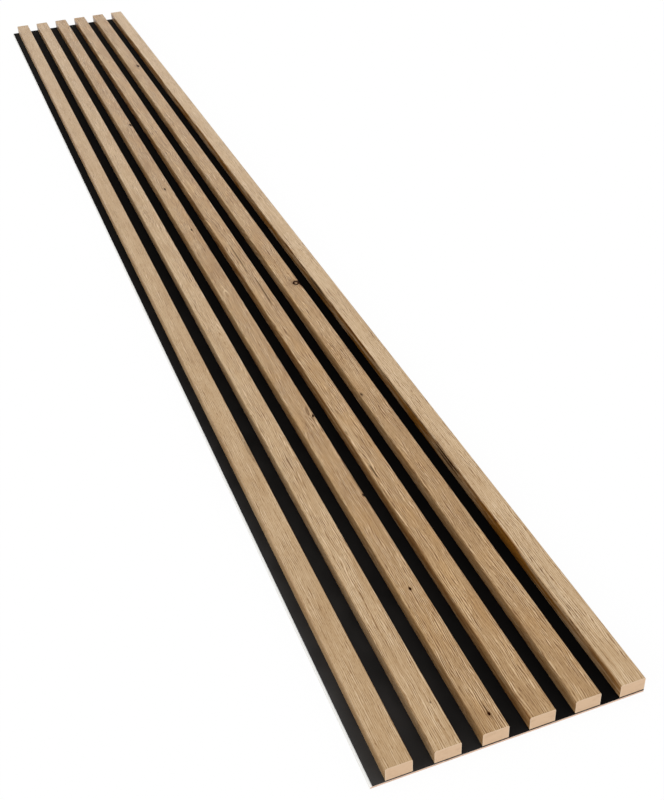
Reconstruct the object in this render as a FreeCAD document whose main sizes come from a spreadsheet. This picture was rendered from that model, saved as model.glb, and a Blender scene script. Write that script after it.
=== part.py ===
import FreeCAD, Part
import math
import os
import Sketcher
from FreeCAD import Vector

# Slat wall panel: oak-wrapped fibreboard slats on black felt, on a thin hardboard sheet.
# Millimetres. X runs across the slats, Y along them and Z out of the face.
# The origin is the middle of the back face.

# Driving sizes: name, value, meaning
SIZES = (
    ("slat_count", "6", "slats side by side"),
    ("slat_pitch", "54", "from the middle of one slat to the middle of the next"),
    ("slat_width", "30", "over the wrap"),
    ("slat_height", "18", "from the felt to the top of the wrap"),
    ("wrap_thickness", "0.6", "oak veneer round the top and both sides of a core"),
    ("core_arris", "1.2", "radius of the core's two top edges"),
    ("panel_length", "2690", "board, felt and slats end flush"),
    ("felt_thickness", "2", "black felt between the slats and the board"),
    ("board_thickness", "2.2", "hardboard sheet at the back"),
    ("felt_margin", "14", "felt in view beside the first slat"),
    ("bare_lip", "2.6", "board left bare beside the felt"),
)

# Sizes worked out from the driving ones: name, formula, meaning
DERIVED = (
    ("core_width", "=slat_width - 2 * wrap_thickness", "core inside its wrap"),
    ("core_height", "=slat_height - wrap_thickness", "core inside its wrap"),
    ("slat_arris", "=core_arris + wrap_thickness", "radius of the wrap's two top edges"),
    ("slats_width", "=(slat_count - 1) * slat_pitch + slat_width", "over all the slats"),
    ("felt_width", "=felt_margin + slats_width", "flush with the last slat"),
    ("board_width", "=bare_lip + felt_width", "flush with the felt on the other side"),
    ("felt_x", "=bare_lip / 2", "middle of the felt"),
    ("first_slat_x", "=(board_width + slat_width) / 2 - slats_width", "middle of the first slat"),
    ("slat_foot_z", "=board_thickness + felt_thickness", "top of the felt"),
)

X_AXIS = -1
ORIGIN = (-1, 1)
START = 1
END = 2


def fill_sheet(doc):
    """The table of sizes: name, value and meaning in one row each."""
    sheet = doc.addObject("Spreadsheet::Sheet", "Sizes")
    for row, (name, value, meaning) in enumerate(SIZES + DERIVED, start=1):
        sheet.set(f"A{row}", name)
        sheet.set(f"B{row}", value)
        sheet.setAlias(f"B{row}", name)
        sheet.set(f"C{row}", meaning)
    doc.recompute()
    return sheet


def new_body(doc, label, place):
    """An empty body whose middle stands where the named sizes say, such as {"z": "Sizes.slat_foot_z"}."""
    body = doc.addObject("PartDesign::Body", label)
    body.Label = label
    for axis, formula in place.items():
        body.setExpression(f"Placement.Base.{axis}", formula)
    return body


def new_sketch(body, plane_role):
    """A sketch on one of the body's own middle planes."""
    sketch = body.newObject("Sketcher::SketchObject", f"{body.Name}_section")
    plane = next(item for item in body.Origin.OriginFeatures if item.Role == plane_role)
    sketch.AttachmentSupport = (plane, "")
    sketch.MapMode = "FlatFace"
    return sketch


def bind(sketch, name, formula, *constraint):
    """A dimension of the sketch that follows the table of sizes."""
    index = sketch.addConstraint(Sketcher.Constraint(*constraint))
    sketch.renameConstraint(index, name)
    sketch.setExpression(f"Constraints.{name}", formula)


def rule(sketch, *constraint):
    """A condition of the sketch that holds at every size."""
    sketch.addConstraint(Sketcher.Constraint(*constraint))


def add_pad(body, sketch, length_name, side_type):
    """The sketch carried along its normal, over the named length."""
    pad = body.newObject("PartDesign::Pad", f"{body.Name}_pad")
    pad.Profile = sketch
    pad.SideType = side_type
    pad.setExpression("Length", f"Sizes.{length_name}")
    sketch.Visibility = False


def add_plate(doc, sheet, label, width_name, thickness_name, place):
    """A flat sheet as long as the panel, standing on its own middle."""
    body = new_body(doc, label, place)
    sketch = new_sketch(body, "XY_Plane")
    half_width = sheet.get(width_name) / 2
    half_length = sheet.get("panel_length") / 2
    corners = (
        Vector(-half_width, -half_length),
        Vector(half_width, -half_length),
        Vector(half_width, half_length),
        Vector(-half_width, half_length),
    )
    near, right, far, left = [
        sketch.addGeometry(Part.LineSegment(corners[side], corners[(side + 1) % len(corners)]))
        for side in range(len(corners))
    ]
    for edge, following in ((near, right), (right, far), (far, left), (left, near)):
        rule(sketch, "Coincident", edge, END, following, START)
    for edge in (near, far):
        rule(sketch, "Horizontal", edge)
    for edge in (right, left):
        rule(sketch, "Vertical", edge)
    rule(sketch, "Symmetric", near, START, right, END, *ORIGIN)
    bind(sketch, "width", f"Sizes.{width_name}", "DistanceX", near, START, near, END, 2 * half_width)
    bind(sketch, "length", "Sizes.panel_length", "DistanceY", right, START, right, END, 2 * half_length)
    add_pad(body, sketch, thickness_name, "One side")
    return body


def add_arch(sketch, sheet, part_name):
    """Two upright sides and a flat top, joined by round arrises, standing on the sketch's X axis.

    The name, core or slat, picks its width, height and arris from the table of sizes.
    Returns the right side, which starts at its foot, and the left side, which ends at its foot.
    """
    half = sheet.get(f"{part_name}_width") / 2
    height = sheet.get(f"{part_name}_height")
    arris = sheet.get(f"{part_name}_arris")
    shoulder = half - arris
    spring = height - arris
    normal = Vector(0, 0, 1)
    right = sketch.addGeometry(Part.LineSegment(Vector(half, 0), Vector(half, spring)))
    right_arris = sketch.addGeometry(
        Part.ArcOfCircle(Part.Circle(Vector(shoulder, spring), normal, arris), 0, math.pi / 2)
    )
    top = sketch.addGeometry(Part.LineSegment(Vector(shoulder, height), Vector(-shoulder, height)))
    left_arris = sketch.addGeometry(
        Part.ArcOfCircle(Part.Circle(Vector(-shoulder, spring), normal, arris), math.pi / 2, math.pi)
    )
    left = sketch.addGeometry(Part.LineSegment(Vector(-half, spring), Vector(-half, 0)))
    chain = (right, right_arris, top, left_arris, left)
    for edge, following in zip(chain, chain[1:]):
        rule(sketch, "Tangent", edge, END, following, START)
    rule(sketch, "Vertical", right)
    rule(sketch, "Vertical", left)
    rule(sketch, "Horizontal", top)
    rule(sketch, "Equal", right_arris, left_arris)
    rule(sketch, "PointOnObject", right, START, X_AXIS)
    rule(sketch, "Symmetric", right, START, left, END, *ORIGIN)
    names = (f"{part_name}_width", f"{part_name}_height", f"{part_name}_arris")
    bind(sketch, names[0], f"Sizes.{names[0]}", "DistanceX", left, END, right, START, 2 * half)
    bind(sketch, names[1], f"Sizes.{names[1]}", "DistanceY", right, START, top, START, height)
    bind(sketch, names[2], f"Sizes.{names[2]}", "Radius", right_arris, arris)
    return right, left


def add_foot(sketch, from_edge, from_end, to_edge, to_end):
    """A straight line along the foot, from one edge's end to another's."""
    start = sketch.getPoint(from_edge, from_end)
    end = sketch.getPoint(to_edge, to_end)
    foot = sketch.addGeometry(Part.LineSegment(start, end))
    rule(sketch, "Coincident", foot, START, from_edge, from_end)
    rule(sketch, "Coincident", foot, END, to_edge, to_end)


def add_core(doc, sheet, label, place):
    """A fibreboard bar with two round top edges and square-sawn ends."""
    body = new_body(doc, label, place)
    sketch = new_sketch(body, "XZ_Plane")
    right, left = add_arch(sketch, sheet, "core")
    add_foot(sketch, left, END, right, START)
    add_pad(body, sketch, "panel_length", "Symmetric")
    return body


def add_wrap(doc, sheet, label, place):
    """An oak skin of even thickness, folded over the top and both sides of a core."""
    body = new_body(doc, label, place)
    sketch = new_sketch(body, "XZ_Plane")
    inner_right, inner_left = add_arch(sketch, sheet, "core")
    outer_right, outer_left = add_arch(sketch, sheet, "slat")
    add_foot(sketch, inner_right, START, outer_right, START)
    add_foot(sketch, inner_left, END, outer_left, END)
    add_pad(body, sketch, "panel_length", "Symmetric")
    return body


def build(doc):
    """Board, felt, then each slat's core and wrap from left to right."""
    sheet = fill_sheet(doc)
    bodies = [
        add_plate(doc, sheet, "backing_board", "board_width", "board_thickness", {}),
        add_plate(
            doc, sheet, "black_felt", "felt_width", "felt_thickness",
            {"x": "Sizes.felt_x", "z": "Sizes.board_thickness"},
        ),
    ]
    for number in range(1, int(sheet.get("slat_count")) + 1):
        place = {
            "x": f"Sizes.first_slat_x + {number - 1} * Sizes.slat_pitch",
            "z": "Sizes.slat_foot_z",
        }
        bodies.append(add_core(doc, sheet, f"slat_core_{number}", place))
        bodies.append(add_wrap(doc, sheet, f"slat_veneer_{number}", place))
    doc.recompute()
    return bodies


def check(doc, bodies):
    """Every object is up to date, every sketch is fixed and every body is one valid solid."""
    for item in doc.Objects:
        if "Invalid" in item.State or "Error" in item.State:
            raise RuntimeError(f"{item.Label} failed: {item.State}")
        if item.TypeId == "Sketcher::SketchObject" and not item.FullyConstrained:
            raise RuntimeError(f"{item.Label} is not fully constrained")
    for body in bodies:
        if body.Shape.isNull() or not body.Shape.isValid() or len(body.Shape.Solids) != 1:
            raise RuntimeError(f"{body.Label} is not one valid solid")


def main():
    doc = FreeCAD.newDocument("slat_wall_panel")
    bodies = build(doc)
    check(doc, bodies)
    os.makedirs("parts", exist_ok=True)
    for body in bodies:
        body.Shape.exportStep(f"parts/{body.Label}.step")


main()
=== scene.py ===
import math
from typing import NamedTuple

import bpy
import numpy as np
from bpy.props import FloatProperty, FloatVectorProperty, IntProperty, PointerProperty
from bpy.types import Operator, Panel, PropertyGroup
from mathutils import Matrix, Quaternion, Vector


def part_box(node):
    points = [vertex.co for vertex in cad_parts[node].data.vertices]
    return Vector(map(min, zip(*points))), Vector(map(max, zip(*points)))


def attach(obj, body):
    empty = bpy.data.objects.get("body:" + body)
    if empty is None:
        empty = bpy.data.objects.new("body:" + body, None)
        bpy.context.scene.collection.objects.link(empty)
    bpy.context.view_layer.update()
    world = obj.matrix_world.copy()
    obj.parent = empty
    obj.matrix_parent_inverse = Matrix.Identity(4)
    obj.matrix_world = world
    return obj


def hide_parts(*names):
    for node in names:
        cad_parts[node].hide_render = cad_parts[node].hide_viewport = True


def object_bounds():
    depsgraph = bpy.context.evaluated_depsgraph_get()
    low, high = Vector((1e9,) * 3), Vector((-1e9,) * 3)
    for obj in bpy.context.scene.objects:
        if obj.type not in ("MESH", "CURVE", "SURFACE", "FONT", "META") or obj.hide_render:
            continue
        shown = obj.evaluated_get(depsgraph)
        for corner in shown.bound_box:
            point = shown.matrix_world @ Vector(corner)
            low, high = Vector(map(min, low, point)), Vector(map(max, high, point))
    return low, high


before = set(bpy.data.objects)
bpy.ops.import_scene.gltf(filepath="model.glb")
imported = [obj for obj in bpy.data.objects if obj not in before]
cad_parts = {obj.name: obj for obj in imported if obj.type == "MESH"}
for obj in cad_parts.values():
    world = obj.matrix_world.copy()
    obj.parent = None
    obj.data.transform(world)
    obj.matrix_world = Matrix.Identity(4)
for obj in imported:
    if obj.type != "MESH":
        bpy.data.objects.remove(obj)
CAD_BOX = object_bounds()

bl_info = {
    "name": "Slat wall panel",
    "version": (1, 0, 0),
    "blender": (4, 5, 0),
    "location": "3D View > Sidebar > Slat panel",
    "description": "Dresses a slat wall panel: oak-wrapped slats on black felt and hardboard",
    "category": "Object",
}

MM = 0.001
BODY = "root"
GRAIN_MAP = "veneer_sheet"
NEAR_END = CAD_BOX[0][1]
END_SKIN = 0.05 * MM  # how near an end a face counts as sawn
SHARP_ANGLE = math.radians(40)  # between faces that meet in a hard edge
SEED_STEP = 3.0  # keeps the slats' noises apart
WHITE = (1.0, 1.0, 1.0, 1.0)
SLAT_NUMBERS = range(1, 1 + sum(name.startswith("slat_veneer_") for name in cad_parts))


class Leaf(NamedTuple):
    """How the veneer leaf of one slat lay in its log, in millimetres, and its look."""

    heart: float  # from the slat's middle line to the log's heart, positive to the right
    depth: float  # from the face down to the heart at the near end
    taper: float  # how much deeper the heart lies a metre further on
    stray: float  # how far the heart strays along the log
    wave: float  # how far the grain sways to and fro
    paleness: float  # from 0, deep brown, to 1, cream
    warmth: float  # how amber it is
    figure: float  # strength of the grain's lines
    year: float  # from one growth ring to the next
    side_shade: float  # how deep the painted shade of its sides is, an amber darkening


LEAVES = (
    Leaf(-60, 20, 6, 6, 2.0, paleness=0.62, warmth=0.20, figure=0.52, year=2.0, side_shade=0.12),
    Leaf(52, 22, 8, 8, 3.0, paleness=0.64, warmth=0.25, figure=0.90, year=2.0, side_shade=0.0),
    Leaf(46, 12, 16, 14, 3.0, paleness=0.47, warmth=0.75, figure=1.05, year=2.0, side_shade=0.10),
    Leaf(-40, 10, 18, 20, 4.5, paleness=0.49, warmth=0.85, figure=0.95, year=2.4, side_shade=0.42),
    Leaf(-44, 14, 14, 14, 4.0, paleness=0.48, warmth=0.80, figure=0.90, year=2.2, side_shade=0.15),
    Leaf(-50, 18, 6, 6, 3.0, paleness=0.75, warmth=0.20, figure=0.95, year=2.2, side_shade=0.68),
)


class Knot(NamedTuple):
    """A knot, crack, swirl or dark streak in one slat's veneer, or a painted shadow, in millimetres."""

    slat: int
    across: float  # from the slat's left face, and below 0 down that face
    along: float  # from the near end
    radius: float
    stretch: float  # its length over its width
    darkness: float  # from 0, a swirl in the grain, to 1, black
    pit: float = 0  # depth of its hollow
    lean: float = 0  # shift across for each millimetre along
    eye: float = 0  # share of plain wood in its middle


KNOTS = (
    Knot(1, 27.5, 550, 2.6, 12, 0.30),
    Knot(1, 9, 1120, 3.0, 9, 0),
    Knot(2, 22, 58, 0.8, 2.0, 0.6),
    Knot(2, 20, 830, 3.0, 8, 0),
    Knot(3, 17.8, 21.5, 1.5, 1.6, 1.0, pit=0.4),
    Knot(3, 17.4, 28, 0.45, 13, 0.6, lean=-0.05),
    Knot(3, 18.5, 16, 0.40, 11, 0.5, lean=-0.08),
    Knot(3, 15.6, 217.5, 1.5, 1.8, 1.0, pit=0.3),
    Knot(3, 29.0, 395, 1.8, 2.0, 1.0, pit=0.1),
    # Painted shade: a dark band along slat 3's right edge beyond its knot stands in for a shadow
    Knot(3, 28.6, 432, 1.1, 34, 0.4),
    Knot(3, 27.5, 584, 1.5, 2.4, 1.0, pit=0.1, lean=0.28),
    Knot(3, 24.0, 597, 1.6, 9.0, 0.18, lean=0.10),
    Knot(3, 12, 970, 4.5, 3.2, 0.05),
    Knot(3, 19.0, 1229, 1.5, 3.0, 0.9),
    Knot(3, 16.4, 1428, 1.9, 3.0, 0.9, pit=0.2),
    Knot(3, 26.8, 1800, 2.8, 3.0, 0.9, pit=0.3),
    Knot(4, 5.2, 438, 1.2, 14, 0.6),
    Knot(4, 2.5, 528, 1.0, 6, 0.5),
    Knot(4, 18.0, 955, 0.9, 60, 0.7, lean=0.02),
    Knot(4, 12.8, 1088, 0.9, 75, 0.7),
    Knot(5, 20.5, 296, 0.5, 50, 0.30, lean=0.04),
    Knot(5, 23.2, 304, 0.5, 60, 0.35, lean=0.04),
    Knot(5, 25.6, 290, 0.5, 50, 0.30, lean=0.04),
    Knot(5, 2.6, 605, 1.5, 2.4, 0.8),
    Knot(5, 29.9, 954, 2.8, 4.5, 1.0, pit=0.2),
    Knot(5, 24.8, 957, 6.9, 1.10, 1.0, pit=0.2, eye=1.0),
    Knot(5, 19.0, 975, 1.6, 5.0, 0.25),
    Knot(5, 23.4, 2190, 3.2, 3.0, 0.85, pit=0.2),
    Knot(6, 4.0, 150, 0.40, 300, 0.30),
    Knot(6, 6.4, 120, 0.40, 250, 0.35),
    Knot(6, 8.6, 170, 0.40, 280, 0.30),
    Knot(6, 11.0, 100, 0.35, 220, 0.25),
    Knot(6, -2.6, 424, 2.4, 16, 0.90),
    Knot(6, -7.2, 424, 2.6, 15, 0.75),
    # Painted shade: a long dark line just below slat 6's left arris stands in for the shadow under the
    # arris
    Knot(6, -1.3, 760, 1.5, 440, 0.45),
    Knot(6, -2.6, 937, 2.2, 20, 0.90),
    Knot(6, -6.6, 925, 2.0, 20, 0.55),
)


class Layer(NamedTuple):
    """One noise of a material."""

    spot: tuple  # size of its spots along each axis, in metres
    detail: float = 2.0  # how many finer noises ride on it
    start: float = 0.0  # level where it sets in
    full: float = 1.0  # level where it is whole
    tone: float = 0.0  # how much it lightens the wood


# Noises of the oak on its veneer sheet, whose third axis is a seed
STRAY = Layer((0.5, 0.33, 0.5))
SWAY = Layer((11 * MM, 55 * MM, 1.0))
BANDS = Layer((3 * MM, 300 * MM, 1.0), tone=0.55)
YEAR_SHIFT = Layer((5 * MM, 45 * MM, 1.0))
BREAKS = Layer((2.2 * MM, 13 * MM, 1.0), detail=5.0, start=0.36, full=0.58)
DARK_LINES = Layer((1 * MM, 16 * MM, 1.0), detail=4.0, start=0.58, full=0.72, tone=-0.14)
PORES = Layer((0.35 * MM, 6 * MM, 1.0), detail=1.0, start=0.56, full=0.64, tone=-0.32)
FIBRES = Layer((0.25 * MM, 30 * MM, 1.0), detail=3.0, tone=0.35)
PATCHES = Layer((13 * MM, 75 * MM, 1.0), start=0.36, full=0.64)
MOTTLE = Layer((22 * MM, 85 * MM, 1.0), tone=0.42)
WARM_PATCHES = Layer((18 * MM, 60 * MM, 1.0), start=0.42, full=0.75)
# streaks in which the sides' painted shade is deepest
SIDE_SHADE_STREAKS = Layer((7 * MM, 160 * MM, 1.0), detail=4.0, start=0.40, full=0.60)
KNOT_EDGE = Layer((1.1 * MM, 2.6 * MM, 1.0))

# Noises of the pressed fibre and the felt on Object coordinates
SPECKS = Layer((0.5 * MM, 0.5 * MM, 0.35 * MM), detail=3.0, start=0.45, full=0.75)
FIBRE_CLOUDS = Layer((9 * MM, 9 * MM, 5 * MM), start=0.45, full=0.95)
NAP = Layer((0.35 * MM, 0.9 * MM, 0.35 * MM), detail=3.0)
FELT_CLOUDS = Layer((30 * MM, 50 * MM, 30 * MM))

# A knot's rims, in radii: from where each sets in to where it is whole
EYE_RIM = (0.48, 0.34)
KNOT_RIM = (1.1, 0.85)
HALO_RIM = (2.6, 0.9)
PIT_RIM = 1.3  # where its hollow sets in

# Shares and weights in the oak
HALO_TONE = -0.22  # how much a knot's halo lightens the wood
YEAR_WANDER = 2.2  # years by which the rings stray
EARLY_WOOD = (0.4, -0.6)  # levels of the year's wave between which the early wood sets in
LATE_PORES = 0.3  # share of the pores left in the late wood
WEAK_LINES = 0.18  # strength of the years in the plain patches
STRONG_LINES = 0.70  # and in the figured ones
RING_SIDE = 9 * MM  # distance across that tells the two sides of a ring apart
STRAY_SEED = 7.0  # spreads the slats' seeds for the heart's stray
WARM_SHIFT = (0.4, 0.7, 0.3)  # keeps the warm patches off the figured ones
LEAST_WARM = 0.4  # share of the amber outside the warm patches
FINISH = 0.8  # share of the surface that the finish closes
BARE_PORES = 0.5  # share of the finish that a pore swallows
ROUGHNESS = 0.60
LINE_GLOSS = -0.15  # how much rougher a pale line is
PORE_RISE = -0.8  # height of a pore in the relief
FIBRE_RISE = 0.5  # height of a fibre
LINE_RISE = 0.15  # height of a pale line
LEAST_SIDE_SHADE = 0.2  # painted shade, in amber streaks, on the sides even of a leaf whose side shade is 0
PLAIN_SIDE_SHADE = 0.4  # share of the sides' painted shade between the streaks

# The felt's painted sheen by the lip's near corner and at the far end, and its cut edge
SHEEN_REACH = (0.108, 0.58, 1.0)  # distance over which the painted sheen dies away along each axis
FAR_SHEEN = 0.2  # share of the painted sheen at the far end
MEAN_STRAY = 0.5  # shares of the stray inwards: its mean and two waves
LONG_STRAY = 0.3
SHORT_STRAY = 0.2
LONG_WAVE = 61 * MM  # length of each wave, divided by two pi
SHORT_WAVE = 23.7 * MM
SHORT_START = 1.0  # where in its turn the short wave starts
EDGE_POWER = 9  # how closely the waves keep to the edge


class OakSettings(PropertyGroup):
    """The veneer round the slats."""

    arris: FloatProperty(
        name="Arris", description="Radius of the two top edges",
        default=1.8 * MM, min=0.1 * MM, unit="LENGTH",
    )
    row_step: FloatProperty(
        name="Row step", description="Mesh spacing along a slat",
        default=6 * MM, min=1 * MM, unit="LENGTH",
    )
    knot_step: FloatProperty(
        name="Knot step", description="Mesh spacing beside a knot",
        default=0.6 * MM, min=0.1 * MM, unit="LENGTH",
    )
    top_steps: IntProperty(
        name="Top steps", description="Mesh faces across the flat top", default=36, min=4
    )
    deep: FloatVectorProperty(
        name="Deep", description="Darkest grain line", default=(0.175, 0.082, 0.024), subtype="COLOR"
    )
    honey: FloatVectorProperty(
        name="Honey", description="Middle tone", default=(0.415, 0.262, 0.125), subtype="COLOR"
    )
    cream: FloatVectorProperty(
        name="Cream", description="Palest streak", default=(0.640, 0.478, 0.305), subtype="COLOR"
    )
    amber: FloatVectorProperty(
        name="Amber", description="Tint of the warmest leaves", default=(1.0, 0.90, 0.70), subtype="COLOR"
    )
    knot: FloatVectorProperty(
        name="Knot", description="Middle of a knot", default=(0.018, 0.004, 0.0005), subtype="COLOR"
    )
    # Painted shade: the slats' sides, which the light leaves in shade, are darkened through this tint
    side: FloatVectorProperty(
        name="Side", description="Tint of the deepest sides", default=(0.46, 0.27, 0.06), subtype="COLOR"
    )
    sawn: FloatVectorProperty(
        name="Sawn", description="Sawn edge of the veneer", default=(0.70, 0.53, 0.37), subtype="COLOR"
    )


class CoreSettings(PropertyGroup):
    """The fibreboard inside the slats."""

    fibre: FloatVectorProperty(
        name="Fibre", description="Sawn end of a core", default=(0.645, 0.447, 0.286), subtype="COLOR"
    )
    speck: FloatVectorProperty(
        name="Speck", description="Dark fibre bundles", default=(0.47, 0.30, 0.175), subtype="COLOR"
    )


class FeltSettings(PropertyGroup):
    """The black felt between the slats and the board."""

    edge_radius: FloatProperty(
        name="Edge radius", description="Softness of the cut edge", default=0.5 * MM, unit="LENGTH"
    )
    edge_wander: FloatProperty(
        name="Edge wander", description="How far the cut edge strays inwards",
        default=0.12 * MM, unit="LENGTH",
    )
    row_step: FloatProperty(
        name="Row step", description="Mesh spacing along the felt", default=9 * MM, unit="LENGTH"
    )
    black: FloatVectorProperty(
        name="Black", description="Colour of the nap", default=(0.0010, 0.0009, 0.0009), subtype="COLOR"
    )
    # Painted sheen: a paler nap colour, mixed in by the lip's near corner and at the far end, stands in
    # for the light's sheen on the felt
    painted_sheen: FloatVectorProperty(
        name="Painted sheen", description="Nap by the lip's near corner",
        default=(0.046, 0.0435, 0.042), subtype="COLOR",
    )


class BoardSettings(PropertyGroup):
    """The hardboard sheet at the back."""

    paint: FloatVectorProperty(
        name="Paint", description="Face of the bare lip", default=(0.98, 0.975, 0.945), subtype="COLOR"
    )
    # Partly real paint, partly painted shade: the long edges' grey, darker than the face, stands in for
    # the shadow line along them
    rim: FloatVectorProperty(
        name="Rim", description="Painted long edges", default=(0.74, 0.72, 0.68), subtype="COLOR"
    )
    edge: FloatVectorProperty(
        name="Edge", description="Sawn edge", default=(0.76, 0.52, 0.38), subtype="COLOR"
    )
    back: FloatVectorProperty(
        name="Back", description="Meshed back face", default=(0.26, 0.155, 0.085), subtype="COLOR"
    )


class StageSettings(PropertyGroup):
    """Camera, lamps and floor."""

    place: FloatVectorProperty(
        name="Camera place", description="Where the camera stands",
        default=(-0.39484, -1.97906, 0.95985), subtype="TRANSLATION", unit="LENGTH",
    )
    aim: FloatVectorProperty(
        name="Aim", description="Point in the middle of the view",
        default=(0.04214, -0.70721, 0.001), subtype="TRANSLATION", unit="LENGTH",
    )
    roll: FloatProperty(
        name="Roll", description="Turn of the camera about its line of sight",
        default=math.radians(-2.968), subtype="ANGLE",
    )
    lens: FloatProperty(
        name="Lens", description="Focal length in millimetres", default=50.06, unit="CAMERA"
    )
    key_strength: FloatProperty(name="Key", description="Strength of the main lamp", default=0.5)
    key_from: FloatVectorProperty(
        name="Key from", description="Direction towards the main lamp",
        default=(0.55, -0.45, 0.70), subtype="DIRECTION",
    )
    key_spread: FloatProperty(
        name="Key spread", description="Angle that the main lamp fills",
        default=math.radians(50), subtype="ANGLE",
    )
    fill_strength: FloatProperty(name="Fill", description="Strength of the low side lamp", default=0.5)
    fill_from: FloatVectorProperty(
        name="Fill from", description="Direction towards the low side lamp",
        default=(-0.92, -0.28, 0.30), subtype="DIRECTION",
    )
    fill_spread: FloatProperty(
        name="Fill spread", description="Angle that the low side lamp fills",
        default=math.radians(30), subtype="ANGLE",
    )
    ambient: FloatProperty(name="Ambient", description="Light from all round", default=0.9)
    floor: FloatVectorProperty(
        name="Floor", description="Floor colour", default=(0.96, 0.96, 0.96), subtype="COLOR"
    )
    floor_glow: FloatProperty(
        name="Floor glow", description="Share of plain white that the camera sees in the floor",
        default=0.93,
    )
    floor_size: FloatProperty(
        name="Floor size", description="Side of the floor", default=60.0, unit="LENGTH"
    )


# Node helpers


def add_node(tree, kind, inputs=None, **settings):
    """A node of that kind; inputs maps a socket's name or number to a value or another node's output."""
    made = tree.nodes.new(kind)
    for name, value in settings.items():
        setattr(made, name, value)
    for socket, value in (inputs or {}).items():
        if isinstance(value, bpy.types.NodeSocket):
            tree.links.new(value, made.inputs[socket])
        else:
            made.inputs[socket].default_value = value
    return made


def calc(tree, operation, *values):
    """One step of arithmetic on values or outputs."""
    return add_node(tree, "ShaderNodeMath", dict(enumerate(values)), operation=operation).outputs[0]


def move(tree, operation, *vectors):
    """One step of vector arithmetic."""
    return add_node(tree, "ShaderNodeVectorMath", dict(enumerate(vectors)), operation=operation).outputs[0]


def fade(tree, value, start, end):
    """A smooth step from 0 at start to 1 at end."""
    inputs = {"Value": value, "From Min": start, "From Max": end}
    return add_node(tree, "ShaderNodeMapRange", inputs, interpolation_type="SMOOTHSTEP").outputs[0]


def mix(tree, share, first, second):
    """First colour where share is 0, second where it is 1."""
    inputs = {0: share, 6: first, 7: second}
    return add_node(tree, "ShaderNodeMix", inputs, data_type="RGBA").outputs[2]


def tint(tree, share, colour, filter_colour):
    """The colour as it is where share is 0, and seen through the filter where it is 1."""
    inputs = {0: share, 6: colour, 7: filter_colour}
    return add_node(tree, "ShaderNodeMix", inputs, data_type="RGBA", blend_type="MULTIPLY").outputs[2]


def noise(tree, place, layer):
    """Soft noise from 0 to 1 with the layer's spots."""
    stretched = move(tree, "DIVIDE", place, layer.spot)
    inputs = {"Vector": stretched, "Scale": 1.0, "Detail": layer.detail}
    return add_node(tree, "ShaderNodeTexNoise", inputs).outputs[0]


def centred(tree, place, layer):
    """The layer's noise, about 0."""
    return calc(tree, "SUBTRACT", noise(tree, place, layer), 0.5)


def mask(tree, place, layer):
    """The layer's noise as a smooth step, from 0 where it sets in to 1 where it is whole."""
    return fade(tree, noise(tree, place, layer), layer.start, layer.full)


def rgba(colour):
    """A colour property as a socket takes it."""
    return (*colour, 1.0)


def new_group(name, inputs, outputs):
    """An empty shader node group, with the sockets of its input and output nodes."""
    group = bpy.data.node_groups.new(name, "ShaderNodeTree")
    for label, kind in inputs.items():
        group.interface.new_socket(label, in_out="INPUT", socket_type=f"NodeSocket{kind}")
    for label, kind in outputs.items():
        group.interface.new_socket(label, in_out="OUTPUT", socket_type=f"NodeSocket{kind}")
    given = group.nodes.new("NodeGroupInput").outputs
    result = group.nodes.new("NodeGroupOutput").inputs
    return group, given, result


def place_group(tree, group, inputs):
    """The group as a node of a material, with its own values."""
    made = tree.nodes.new("ShaderNodeGroup")
    made.node_tree = group
    for label, value in inputs.items():
        if isinstance(value, bpy.types.NodeSocket):
            tree.links.new(value, made.inputs[label])
        else:
            made.inputs[label].default_value = value
    return made.outputs


def new_material(name):
    """A node material with only a Principled shader."""
    material = bpy.data.materials.new(name)
    material.use_nodes = True
    tree = material.node_tree
    shader = next(node for node in tree.nodes if node.type == "BSDF_PRINCIPLED")
    return material, tree, shader


def add_bump(tree, shader, height, strength, distance):
    """Surface relief from a height, in metres."""
    inputs = {"Height": height, "Strength": strength, "Distance": distance}
    bump = add_node(tree, "ShaderNodeBump", inputs)
    tree.links.new(bump.outputs[0], shader.inputs["Normal"])


# Shared effects


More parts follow.
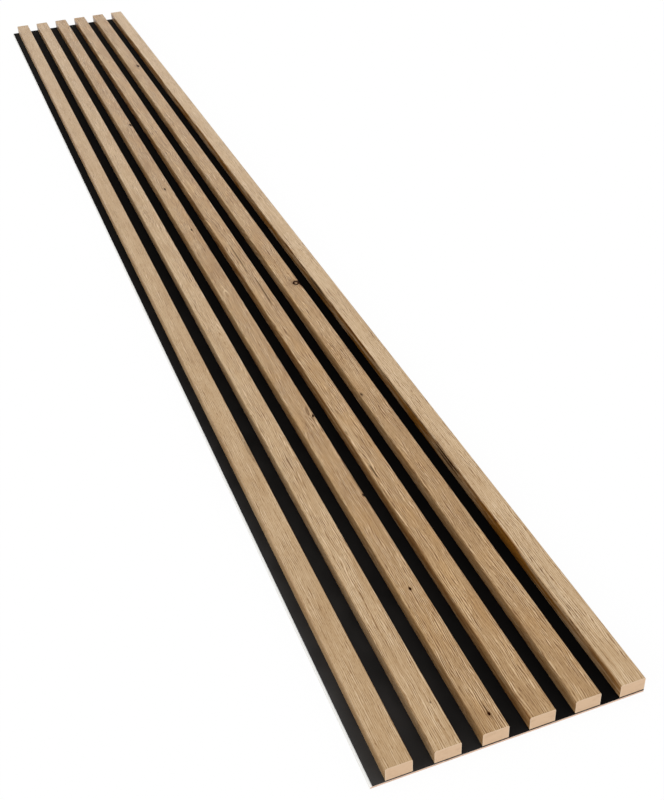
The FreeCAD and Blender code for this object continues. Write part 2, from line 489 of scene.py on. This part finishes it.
def knot_group():
    """Grain that parts round a knot as water parts round a post.

    With d the distance from the knot's middle, measured with the knot's length squeezed to its width,
    a grain line at distance s across goes to s times (1 minus radius squared over d squared) outside the
    knot, and inside it the lines are rings about its middle.
    """
    group, given, result = new_group(
        "Knot in the grain",
        {
            "Sheet": "Vector", "Across": "Float", "Along": "Float", "Radius": "Float", "Stretch": "Float",
            "Lean": "Float", "Eye": "Float",
        },
        {"Sheet": "Vector", "Knot": "Float", "Halo": "Float"},
    )
    parts = add_node(group, "ShaderNodeSeparateXYZ", {0: given["Sheet"]}).outputs
    beyond = calc(group, "SUBTRACT", parts[1], given["Along"])
    middle = calc(group, "MULTIPLY_ADD", beyond, given["Lean"], given["Across"])
    across = calc(group, "SUBTRACT", parts[0], middle)
    along = calc(group, "DIVIDE", beyond, given["Stretch"])
    square = calc(group, "ADD", calc(group, "POWER", across, 2.0), calc(group, "POWER", along, 2.0))
    reach = calc(group, "DIVIDE", calc(group, "SQRT", square), given["Radius"])
    ragged = noise(group, given["Sheet"], KNOT_EDGE)
    rough_reach = calc(group, "MULTIPLY", reach, calc(group, "ADD", ragged, 0.5))
    parting = calc(group, "DIVIDE", 1.0, calc(group, "MAXIMUM", calc(group, "POWER", reach, 2.0), 1.0))
    kept = calc(group, "MULTIPLY", across, calc(group, "SUBTRACT", 1.0, parting))
    inside = calc(group, "MAXIMUM", calc(group, "SUBTRACT", 1.0, reach), 0.0)
    rings = calc(group, "MULTIPLY", inside, given["Radius"])
    bent = calc(group, "ADD", calc(group, "ADD", middle, kept), rings)
    moved = add_node(group, "ShaderNodeCombineXYZ", {0: bent, 1: parts[1], 2: parts[2]}).outputs[0]
    pale_eye = calc(group, "MULTIPLY", fade(group, rough_reach, *EYE_RIM), given["Eye"])
    filled = calc(group, "SUBTRACT", fade(group, rough_reach, *KNOT_RIM), pale_eye)
    group.links.new(moved, result["Sheet"])
    group.links.new(filled, result["Knot"])
    group.links.new(fade(group, rough_reach, *HALO_RIM), result["Halo"])
    return group


def oak_group():
    """Plain-sawn oak on an unrolled veneer sheet, in metres: X across the grain, Y along it, Z a seed.

    The growth rings are circles about a heart that lies deeper further along the log and strays a
    little, so a point's ring is the root of its distance across squared plus the heart's depth squared.
    Each year is one wave of a sine over the ring, with its phase shifted by a noise, broken up along the
    log and stronger in some patches than in others. Bands, dark lines, pores and fibres are noises that
    are narrow across the rings and long along the log, and the pores are thickest in the early half of
    each year. Their sum is a tone, which goes from deep over honey to cream.
    """
    group, given, result = new_group(
        "Oak grain",
        {
            "Sheet": "Vector", "Heart": "Float", "Depth": "Float", "Taper": "Float", "Stray": "Float",
            "Wave": "Float", "Paleness": "Float", "Warmth": "Float", "Figure": "Float", "Knot": "Float",
            "Halo": "Float", "Year": "Float", "Deep": "Color", "Honey": "Color", "Cream": "Color",
            "Amber": "Color", "Knot colour": "Color",
        },
        {"Colour": "Color", "Roughness": "Float", "Finish": "Float", "Height": "Float"},
    )
    sheet = given["Sheet"]
    parts = add_node(group, "ShaderNodeSeparateXYZ", {0: sheet}).outputs
    seed = calc(group, "MULTIPLY", parts[2], STRAY_SEED)
    line = add_node(group, "ShaderNodeCombineXYZ", {0: seed, 1: parts[1], 2: parts[2]}).outputs[0]
    aside = centred(group, line, STRAY)
    sway = centred(group, sheet, SWAY)
    depth = calc(group, "MULTIPLY_ADD", parts[1], given["Taper"], given["Depth"])
    heart = calc(group, "MULTIPLY_ADD", aside, given["Stray"], given["Heart"])
    swayed = calc(group, "MULTIPLY_ADD", sway, given["Wave"], parts[0])
    across = calc(group, "SUBTRACT", swayed, heart)
    square = calc(group, "ADD", calc(group, "POWER", across, 2.0), calc(group, "POWER", depth, 2.0))
    ring = calc(group, "SQRT", square)
    side = calc(group, "MULTIPLY_ADD", across, 1 / RING_SIDE, parts[2])
    rings = add_node(group, "ShaderNodeCombineXYZ", {0: ring, 1: parts[1], 2: side}).outputs[0]
    wander = noise(group, rings, YEAR_SHIFT)
    year = calc(group, "MULTIPLY_ADD", wander, YEAR_WANDER, calc(group, "DIVIDE", ring, given["Year"]))
    growth = calc(group, "SINE", calc(group, "MULTIPLY", year, 2 * math.pi))
    early = fade(group, growth, *EARLY_WOOD)
    open_share = calc(group, "MULTIPLY_ADD", early, 1 - LATE_PORES, LATE_PORES)
    pores = calc(group, "MULTIPLY", mask(group, rings, PORES), open_share)
    fibres = centred(group, rings, FIBRES)
    figured = mask(group, sheet, PATCHES)
    strength = calc(group, "MULTIPLY_ADD", figured, STRONG_LINES - WEAK_LINES, WEAK_LINES)
    broken = calc(group, "MULTIPLY", growth, mask(group, rings, BREAKS))
    lines = calc(group, "MULTIPLY", broken, strength)
    lines = calc(group, "MULTIPLY_ADD", centred(group, rings, BANDS), BANDS.tone, lines)
    lines = calc(group, "MULTIPLY_ADD", mask(group, rings, DARK_LINES), DARK_LINES.tone, lines)
    tone = calc(group, "MULTIPLY_ADD", lines, given["Figure"], given["Paleness"])
    tone = calc(group, "MULTIPLY_ADD", centred(group, sheet, MOTTLE), MOTTLE.tone, tone)
    tone = calc(group, "MULTIPLY_ADD", pores, PORES.tone, tone)
    tone = calc(group, "MULTIPLY_ADD", fibres, FIBRES.tone, tone)
    tone = calc(group, "MULTIPLY_ADD", given["Halo"], HALO_TONE, tone)
    low = calc(group, "MULTIPLY", tone, 2.0)
    high = calc(group, "SUBTRACT", low, 1.0)
    low_share = add_node(group, "ShaderNodeClamp", {0: low}).outputs[0]
    high_share = add_node(group, "ShaderNodeClamp", {0: high}).outputs[0]
    wood = mix(group, high_share, mix(group, low_share, given["Deep"], given["Honey"]), given["Cream"])
    warm = mask(group, move(group, "ADD", sheet, WARM_SHIFT), WARM_PATCHES)
    warm_share = calc(group, "MULTIPLY_ADD", warm, 1 - LEAST_WARM, LEAST_WARM)
    wood = tint(group, calc(group, "MULTIPLY", warm_share, given["Warmth"]), wood, given["Amber"])
    group.links.new(mix(group, given["Knot"], wood, given["Knot colour"]), result["Colour"])
    bare = calc(group, "MAXIMUM", given["Knot"], calc(group, "MULTIPLY", pores, BARE_PORES))
    group.links.new(calc(group, "MULTIPLY_ADD", bare, -FINISH, FINISH), result["Finish"])
    group.links.new(calc(group, "MULTIPLY_ADD", lines, LINE_GLOSS, ROUGHNESS), result["Roughness"])
    height = calc(group, "MULTIPLY", lines, LINE_RISE)
    height = calc(group, "MULTIPLY_ADD", fibres, FIBRE_RISE, height)
    height = calc(group, "MULTIPLY_ADD", pores, PORE_RISE, height)
    group.links.new(calc(group, "SUBTRACT", height, given["Knot"]), result["Height"])
    return group


def fibre_group():
    """Pressed wood fibre: fine specks on a cloudy ground, at real scale on Object coordinates."""
    group, given, result = new_group(
        "Pressed fibre",
        {"Place": "Vector", "Ground": "Color", "Speck": "Color"},
        {"Colour": "Color", "Height": "Float"},
    )
    fine = noise(group, given["Place"], SPECKS)
    specks = fade(group, fine, SPECKS.start, SPECKS.full)
    share = calc(group, "ADD", specks, mask(group, given["Place"], FIBRE_CLOUDS))
    half_share = calc(group, "MULTIPLY", share, 0.5)
    group.links.new(mix(group, half_share, given["Ground"], given["Speck"]), result["Colour"])
    group.links.new(fine, result["Height"])
    return group


# Surfaces


def arch(half_width, height, arris, side_steps, arris_steps, top_steps):
    """Half-round-edged section: two upright lines, two quarter circles and a flat top.

    Runs from the left foot over the top to the right foot. Returns the points (x, z), their outward
    normals and the distance along the section from the middle of the top.
    """
    rise = np.linspace(0, 1, side_steps, endpoint=False)
    turn = np.linspace(0, np.pi / 2, arris_steps, endpoint=False)
    shoulder = half_width - arris
    spring = height - arris
    side = np.stack([np.full_like(rise, -half_width), rise * spring], 1)
    side_normal = np.tile([-1.0, 0.0], (side_steps, 1))
    turn_normal = np.stack([-np.cos(turn), np.sin(turn)], 1)
    corner = np.array([-shoulder, spring]) + arris * turn_normal
    run = np.linspace(-shoulder, shoulder, top_steps + 1)
    top = np.stack([run, np.full_like(run, height)], 1)
    top_normal = np.tile([0.0, 1.0], (top_steps + 1, 1))
    left = np.concatenate([side, corner])
    left_normal = np.concatenate([side_normal, turn_normal])
    mirrored = np.array([-1.0, 1.0])
    points = np.concatenate([left, top, left[::-1] * mirrored])
    normals = np.concatenate([left_normal, top_normal, left_normal[::-1] * mirrored])
    steps = np.linalg.norm(np.diff(points, axis=0), axis=1)
    distance = np.concatenate([[0.0], np.cumsum(steps)])
    return points, normals, distance - distance[-1] / 2


def rows_along(start, end, step, marks=(), mark_step=None, reach=6 * MM, samples=20001):
    """Places along a run, a step apart, and closer by a bell curve round each mark.

    The rows are where the running total of rows per metre passes each whole number.
    """
    fine = np.linspace(start, end, samples)
    density = np.full_like(fine, 1 / step)
    if len(marks):
        bells = np.exp(-((fine[:, None] - np.asarray(marks)) / reach) ** 2)
        density = np.maximum(density, bells.max(axis=1) / mark_step)
    total = np.concatenate([[0.0], np.cumsum((density[1:] + density[:-1]) / 2 * np.diff(fine))])
    count = int(math.ceil(total[-1]))
    return np.interp(np.linspace(0, total[-1], count + 1), total, fine)


def pits(distance, rows, knots, centre):
    """Depth of the hollows at knots, each a smooth bowl.

    With s the rim less the distance from the knot's middle, in radii and kept from 0 to 1, a hollow's
    depth is its full depth times s squared times (3 minus 2 s).
    """
    depth = np.zeros((len(rows), len(distance)))
    for knot in knots:
        across = (distance - (knot.across - centre) * MM) / (knot.radius * MM)
        along = (rows - NEAR_END - knot.along * MM) / (knot.radius * knot.stretch * MM)
        share = np.clip(PIT_RIM - np.hypot(across[None, :], along[:, None]), 0, 1)
        depth = np.maximum(depth, knot.pit * MM * share**2 * (3 - 2 * share))
    return depth


def run_mesh(name, grid, sheet):
    """Closed section carried along a run: each face joins two rows and two columns, the last column
    joins the first, and one flat face closes each end. The sheet gives each point's place in the map."""
    row_count, column_count = grid.shape[:2]
    index = np.arange(row_count * column_count).reshape(row_count, column_count)
    after = np.roll(index, -1, axis=1)
    quads = np.stack([index[:-1], after[:-1], after[1:], index[1:]], -1).reshape(-1, 4)
    faces = [*quads.tolist(), index[0, ::-1].tolist(), index[-1].tolist()]
    mesh = bpy.data.meshes.new(name)
    mesh.from_pydata(grid.reshape(-1, 3), [], faces)
    corners = np.empty(len(mesh.loops), np.int32)
    mesh.loops.foreach_get("vertex_index", corners)
    layer = mesh.uv_layers.new(name=GRAIN_MAP)
    layer.uv.foreach_set("vector", sheet.reshape(-1, 2)[corners].astype(np.float32).ravel())
    mesh.polygons.foreach_set("use_smooth", np.ones(len(mesh.polygons), bool))
    mesh.set_sharp_from_angle(angle=SHARP_ANGLE)
    mesh.validate()
    return mesh


def add_piece(mesh, material, slot, *replaced):
    """The mesh as a piece of the part, standing for the named nodes."""
    piece = bpy.data.objects.new(mesh.name, mesh)
    bpy.context.scene.collection.objects.link(piece)
    mesh.materials.append(material)
    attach(piece, BODY)
    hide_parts(*replaced)
    return piece


def dress_node(name, material):
    """A carried-over node with its finished material."""
    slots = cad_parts[name].data.materials
    slots.clear()
    slots.append(material)


# Oak slats


def slat_knots(number):
    """The knots and streaks of one slat."""
    return [knot for knot in KNOTS if knot.slat == number]


def wrap_mesh(number, oak):
    """Skin of one slat: the outer arch and the core's arch as one closed section, carried along the slat,
    with the outer points sunk along their normals where a knot has a hollow."""
    low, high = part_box(f"slat_veneer_{number}")
    core_low, core_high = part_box(f"slat_core_{number}")
    middle = (low.x + high.x) / 2
    half_width = (high.x - low.x) / 2
    thickness = high.z - core_high.z
    outer, normals, distance = arch(
        half_width, high.z - low.z, oak.arris, side_steps=7, arris_steps=6, top_steps=oak.top_steps
    )
    inner, _, inner_distance = arch(
        (core_high.x - core_low.x) / 2, core_high.z - core_low.z, oak.arris - thickness,
        side_steps=1, arris_steps=3, top_steps=1,
    )
    hollow = [knot for knot in slat_knots(number) if knot.pit > 0]
    marks = [NEAR_END + knot.along * MM for knot in hollow]
    rows = rows_along(low.y, high.y, oak.row_step, marks, oak.knot_step)
    sunk = pits(distance, rows, hollow, half_width / MM)
    section = np.concatenate([outer, inner[::-1]])
    grid = np.empty((len(rows), len(section), 3))
    grid[:, :, 0] = middle + section[:, 0]
    grid[:, :, 1] = rows[:, None]
    grid[:, :, 2] = low.z + section[:, 1]
    grid[:, : len(outer), 0] -= sunk * normals[:, 0]
    grid[:, : len(outer), 2] -= sunk * normals[:, 1]
    sheet = np.empty((len(rows), len(section), 2))
    sheet[:, :, 0] = np.concatenate([distance, inner_distance[::-1]])
    sheet[:, :, 1] = (rows - NEAR_END)[:, None]
    return run_mesh(f"oak_wrap_{number}", grid, sheet)


def oak_material(number, leaf, oak, grain, knot_in_grain):
    """Oak veneer of one slat: its knots part the grain one after another, then the grain is drawn, and its
    sides are darkened with painted shade.
    """
    material, tree, shader = new_material(f"oak_veneer_{number}")
    low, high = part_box(f"slat_veneer_{number}")
    half_width = (high.x - low.x) / 2
    unrolled = add_node(tree, "ShaderNodeUVMap", uv_map=GRAIN_MAP).outputs[0]
    sheet = move(tree, "ADD", unrolled, (0.0, 0.0, SEED_STEP * number))
    knot_mask = 0.0
    halo_mask = 0.0
    for knot in slat_knots(number):
        values = {
            "Sheet": sheet, "Across": knot.across * MM - half_width, "Along": knot.along * MM,
            "Radius": knot.radius * MM, "Stretch": knot.stretch, "Lean": knot.lean, "Eye": knot.eye,
        }
        parted = place_group(tree, knot_in_grain, values)
        sheet = parted["Sheet"]
        knot_mask = calc(tree, "MAXIMUM", calc(tree, "MULTIPLY", parted["Knot"], knot.darkness), knot_mask)
        halo_mask = calc(tree, "MAXIMUM", calc(tree, "MULTIPLY", parted["Halo"], knot.darkness), halo_mask)
    values = {
        "Sheet": sheet, "Heart": leaf.heart * MM, "Depth": leaf.depth * MM, "Taper": leaf.taper * MM,
        "Stray": leaf.stray * MM, "Wave": leaf.wave * MM, "Paleness": leaf.paleness, "Warmth": leaf.warmth,
        "Figure": leaf.figure, "Knot": knot_mask, "Halo": halo_mask, "Year": leaf.year * MM,
        "Deep": rgba(oak.deep), "Honey": rgba(oak.honey), "Cream": rgba(oak.cream),
        "Amber": rgba(oak.amber), "Knot colour": rgba(oak.knot),
    }
    drawn = place_group(tree, grain, values)
    parts = add_node(tree, "ShaderNodeSeparateXYZ", {0: unrolled}).outputs
    half_length = (high.y - low.y) / 2
    from_middle = calc(tree, "ABSOLUTE", calc(tree, "SUBTRACT", parts[1], half_length))
    at_end = calc(tree, "GREATER_THAN", from_middle, half_length - END_SKIN)
    # Painted shade: the sides are darkened through the side tint, deeper in streaks, for the shade that
    # falls on them
    on_side = fade(tree, calc(tree, "ABSOLUTE", parts[0]), half_width - oak.arris, half_width)
    streaks = mask(tree, sheet, SIDE_SHADE_STREAKS)
    side_shade_share = calc(tree, "MULTIPLY_ADD", streaks, LEAST_SIDE_SHADE + leaf.side_shade, PLAIN_SIDE_SHADE * leaf.side_shade)
    shaded_sides = tint(tree, calc(tree, "MULTIPLY", on_side, side_shade_share), drawn["Colour"], rgba(oak.side))
    tree.links.new(mix(tree, at_end, shaded_sides, rgba(oak.sawn)), shader.inputs["Base Color"])
    tree.links.new(drawn["Roughness"], shader.inputs["Roughness"])
    tree.links.new(drawn["Finish"], shader.inputs["Coat Weight"])
    shader.inputs["Coat Roughness"].default_value = 0.35
    shader.inputs["Specular IOR Level"].default_value = 0.02
    add_bump(tree, shader, drawn["Height"], strength=0.5, distance=0.12 * MM)
    return material


class SLATPANEL_OT_wrap_slats(Operator):
    """Wrap each slat's core in its oak veneer"""

    bl_idname = "slatpanel.wrap_slats"
    bl_label = "Wrap the slats"

    def execute(self, context):
        oak = context.scene.slat_oak
        if len(LEAVES) != len(SLAT_NUMBERS):
            raise RuntimeError("each slat needs one veneer leaf")
        grain = oak_group()
        knot_in_grain = knot_group()
        for number, leaf in zip(SLAT_NUMBERS, LEAVES):
            material = oak_material(number, leaf, oak, grain, knot_in_grain)
            add_piece(wrap_mesh(number, oak), material, "oak_veneer", f"slat_veneer_{number}")
        return {"FINISHED"}


# Cores, board and felt


def shared_fibre_group():
    """The pressed fibre effect, made once."""
    return bpy.data.node_groups.get("Pressed fibre") or fibre_group()


class SLATPANEL_OT_finish_cores(Operator):
    """Give the cores their sawn fibreboard"""

    bl_idname = "slatpanel.finish_cores"
    bl_label = "Finish the cores"

    def execute(self, context):
        core = context.scene.slat_core
        material, tree, shader = new_material("sawn_fibreboard")
        place = add_node(tree, "ShaderNodeTexCoord").outputs["Object"]
        values = {"Place": place, "Ground": rgba(core.fibre), "Speck": rgba(core.speck)}
        fibre = place_group(tree, shared_fibre_group(), values)
        tree.links.new(fibre["Colour"], shader.inputs["Base Color"])
        shader.inputs["Roughness"].default_value = 0.75
        add_bump(tree, shader, fibre["Height"], strength=0.4, distance=0.1 * MM)
        for number in SLAT_NUMBERS:
            dress_node(f"slat_core_{number}", material)
        return {"FINISHED"}


class SLATPANEL_OT_finish_board(Operator):
    """Paint the board's face, and its long edges in a darker grey that is partly painted shade, and leave
    its sawn ends and back bare
    """

    bl_idname = "slatpanel.finish_board"
    bl_label = "Finish the board"

    def execute(self, context):
        board = context.scene.slat_board
        low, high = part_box("backing_board")
        material, tree, shader = new_material("painted_hardboard")
        place = add_node(tree, "ShaderNodeTexCoord").outputs["Object"]
        parts = add_node(tree, "ShaderNodeSeparateXYZ", {0: place}).outputs
        values = {"Place": place, "Ground": rgba(board.edge), "Speck": rgba(board.back)}
        fibre = place_group(tree, shared_fibre_group(), values)
        skin = 0.08 * MM
        bare = mix(tree, fade(tree, parts[2], low.z + skin, low.z), fibre["Colour"], rgba(board.back))
        on_face = fade(tree, parts[2], high.z - 2 * skin, high.z - skin)
        on_edge = fade(tree, calc(tree, "ABSOLUTE", parts[0]), high.x - 2 * skin, high.x - skin)
        coated = calc(tree, "MAXIMUM", on_face, on_edge)
        # The long edges get the rim's grey: painted shade along the board's sides
        painted = mix(tree, on_face, mix(tree, on_edge, bare, rgba(board.rim)), rgba(board.paint))
        relief = calc(tree, "MULTIPLY", fibre["Height"], calc(tree, "SUBTRACT", 1.0, coated))
        tree.links.new(painted, shader.inputs["Base Color"])
        shader.inputs["Roughness"].default_value = 0.6
        add_bump(tree, shader, relief, strength=0.3, distance=0.08 * MM)
        dress_node("backing_board", material)
        return {"FINISHED"}


def felt_mesh(felt):
    """Felt sheet: an arch section with soft edges, carried along the panel, whose cut sides stray inwards
    by a mean and two slow sine waves, times an odd power of the distance from the middle."""
    low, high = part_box("black_felt")
    middle = (low.x + high.x) / 2
    half_width = (high.x - low.x) / 2
    section, _, distance = arch(
        half_width, high.z - low.z, felt.edge_radius, side_steps=2, arris_steps=4, top_steps=64
    )
    rows = rows_along(low.y, high.y, felt.row_step)
    side = section[:, 0] / half_width
    long_wave = LONG_STRAY * np.sin(rows / LONG_WAVE)
    short_wave = SHORT_STRAY * np.sin(rows / SHORT_WAVE + SHORT_START)
    waves = MEAN_STRAY + long_wave + short_wave
    inset = felt.edge_wander * waves[:, None] * side**EDGE_POWER
    grid = np.empty((len(rows), len(section), 3))
    grid[:, :, 0] = middle + section[:, 0] - inset
    grid[:, :, 1] = rows[:, None]
    grid[:, :, 2] = low.z + section[:, 1]
    sheet = np.empty((len(rows), len(section), 2))
    sheet[:, :, 0] = distance
    sheet[:, :, 1] = (rows - NEAR_END)[:, None]
    return run_mesh("felt_sheet", grid, sheet)


def felt_material(felt):
    """Black pressed felt: short matted fibres, with painted sheen: paler by the lip's near corner and,
    a little, at the far end, where the light's sheen on it is painted into its colour."""
    material, tree, shader = new_material("pressed_black_felt")
    low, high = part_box("black_felt")
    place = add_node(tree, "ShaderNodeTexCoord").outputs["Object"]
    away = move(tree, "DIVIDE", move(tree, "SUBTRACT", place, (low.x, low.y, 0.0)), SHEEN_REACH)
    parts = add_node(tree, "ShaderNodeSeparateXYZ", {0: away}).outputs
    # Painted sheen: paler nap strongest by the lip's near corner, dying away along and across, and a
    # little at the far end
    near = calc(tree, "EXPONENT", calc(tree, "MULTIPLY", calc(tree, "ADD", parts[0], parts[1]), -1.0))
    to_far_end = calc(tree, "SUBTRACT", parts[1], (high.y - low.y) / SHEEN_REACH[1])
    painted_sheen = calc(tree, "MULTIPLY_ADD", calc(tree, "EXPONENT", to_far_end), FAR_SHEEN, near)
    matted = noise(tree, place, NAP)
    clouded = calc(tree, "ADD", matted, noise(tree, place, FELT_CLOUDS))
    sheen_share = calc(tree, "MULTIPLY", clouded, painted_sheen)
    tree.links.new(mix(tree, sheen_share, rgba(felt.black), rgba(felt.painted_sheen)), shader.inputs["Base Color"])
    shader.inputs["Roughness"].default_value = 0.7
    shader.inputs["Specular IOR Level"].default_value = 0.004
    shader.inputs["Sheen Weight"].default_value = 0.06
    shader.inputs["Sheen Roughness"].default_value = 0.3
    add_bump(tree, shader, matted, strength=0.6, distance=0.2 * MM)
    return material


class SLATPANEL_OT_lay_felt(Operator):
    """Lay the black felt on the board"""

    bl_idname = "slatpanel.lay_felt"
    bl_label = "Lay the felt"

    def execute(self, context):
        felt = context.scene.slat_felt
        piece = add_piece(felt_mesh(felt), felt_material(felt), "black_felt", "black_felt")
        return {"FINISHED"}


# Stage


def seen_rays(tree):
    """1 for rays from the camera, off gloss or through glass, and 0 for the rest."""
    path = add_node(tree, "ShaderNodeLightPath").outputs
    direct = calc(tree, "MAXIMUM", path["Is Camera Ray"], path["Is Glossy Ray"])
    return calc(tree, "MAXIMUM", direct, path["Is Transmission Ray"])


def add_camera(stage):
    """Camera at its place, level towards the aim and then rolled."""
    data = bpy.data.cameras.new("camera")
    data.lens = stage.lens
    data.clip_end = stage.floor_size
    camera = bpy.data.objects.new("camera", data)
    line = Vector(stage.aim) - Vector(stage.place)
    roll = Quaternion((0.0, 0.0, 1.0), stage.roll)
    camera.location = stage.place
    camera.rotation_euler = (line.to_track_quat("-Z", "Y") @ roll).to_euler()
    bpy.context.scene.collection.objects.link(camera)
    bpy.context.scene.camera = camera


def add_lamp(name, strength, towards, spread):
    """One broad soft lamp far away in that direction."""
    data = bpy.data.lights.new(name, "SUN")
    data.energy = strength
    data.angle = spread
    lamp = bpy.data.objects.new(name, data)
    lamp.rotation_euler = Vector(towards).to_track_quat("Z", "Y").to_euler()
    bpy.context.scene.collection.objects.link(lamp)


def set_world(stage):
    """Even light all round, white where it is seen."""
    world = bpy.data.worlds.new("studio")
    world.use_nodes = True
    tree = world.node_tree
    background = next(node for node in tree.nodes if node.type == "BACKGROUND")
    white = add_node(tree, "ShaderNodeBackground", {"Color": WHITE, "Strength": 1.0})
    background.inputs["Color"].default_value = WHITE
    background.inputs["Strength"].default_value = stage.ambient
    inputs = {0: seen_rays(tree), 1: background.outputs[0], 2: white.outputs[0]}
    mixed = add_node(tree, "ShaderNodeMixShader", inputs)
    output = next(node for node in tree.nodes if node.type == "OUTPUT_WORLD")
    tree.links.new(mixed.outputs[0], output.inputs["Surface"])
    bpy.context.scene.world = world


def add_floor(stage):
    """A flat pale floor, mostly plain white to the camera, that keeps the panel's shadow."""
    half = stage.floor_size / 2
    corners = [(-half, -half, 0.0), (half, -half, 0.0), (half, half, 0.0), (-half, half, 0.0)]
    mesh = bpy.data.meshes.new("floor")
    mesh.from_pydata(corners, [], [(0, 1, 2, 3)])
    material, tree, shader = new_material("pale_floor")
    shader.inputs["Base Color"].default_value = rgba(stage.floor)
    shader.inputs["Roughness"].default_value = 0.9
    shader.inputs["Specular IOR Level"].default_value = 0.0
    glow = add_node(tree, "ShaderNodeEmission", {"Color": WHITE, "Strength": 1.0})
    share = calc(tree, "MULTIPLY", seen_rays(tree), stage.floor_glow)
    mixed = add_node(tree, "ShaderNodeMixShader", {0: share, 1: shader.outputs[0], 2: glow.outputs[0]})
    output = next(node for node in tree.nodes if node.type == "OUTPUT_MATERIAL")
    tree.links.new(mixed.outputs[0], output.inputs["Surface"])
    mesh.materials.append(material)
    floor = bpy.data.objects.new("floor", mesh)
    bpy.context.scene.collection.objects.link(floor)


class SLATPANEL_OT_set_stage(Operator):
    """Set up the camera, the light and the floor"""

    bl_idname = "slatpanel.set_stage"
    bl_label = "Set the stage"

    def execute(self, context):
        stage = context.scene.slat_stage
        add_camera(stage)
        add_lamp("key", stage.key_strength, stage.key_from, stage.key_spread)
        add_lamp("fill", stage.fill_strength, stage.fill_from, stage.fill_spread)
        set_world(stage)
        add_floor(stage)
        context.scene.view_settings.view_transform = "Standard"
        return {"FINISHED"}


class SLATPANEL_PT_sidebar(Panel):
    """Lists the steps that dress the panel"""

    bl_label = "Slat panel"
    bl_space_type = "VIEW_3D"
    bl_region_type = "UI"
    bl_category = "Slat panel"

    def draw(self, context):
        for operator in OPERATORS:
            self.layout.operator(operator.bl_idname)


SETTINGS = {
    "slat_oak": OakSettings,
    "slat_core": CoreSettings,
    "slat_felt": FeltSettings,
    "slat_board": BoardSettings,
    "slat_stage": StageSettings,
}
OPERATORS = (
    SLATPANEL_OT_wrap_slats,
    SLATPANEL_OT_finish_cores,
    SLATPANEL_OT_lay_felt,
    SLATPANEL_OT_finish_board,
    SLATPANEL_OT_set_stage,
)


def register():
    for kind in (*SETTINGS.values(), *OPERATORS, SLATPANEL_PT_sidebar):
        bpy.utils.register_class(kind)
    for name, kind in SETTINGS.items():
        setattr(bpy.types.Scene, name, PointerProperty(type=kind))


def unregister():
    for name in SETTINGS:
        delattr(bpy.types.Scene, name)
    for kind in (SLATPANEL_PT_sidebar, *OPERATORS, *SETTINGS.values()):
        bpy.utils.unregister_class(kind)


def main():
    register()
    bpy.ops.slatpanel.wrap_slats()
    bpy.ops.slatpanel.finish_cores()
    bpy.ops.slatpanel.lay_felt()
    bpy.ops.slatpanel.finish_board()
    bpy.ops.slatpanel.set_stage()


if __name__ == "__main__":
    main()
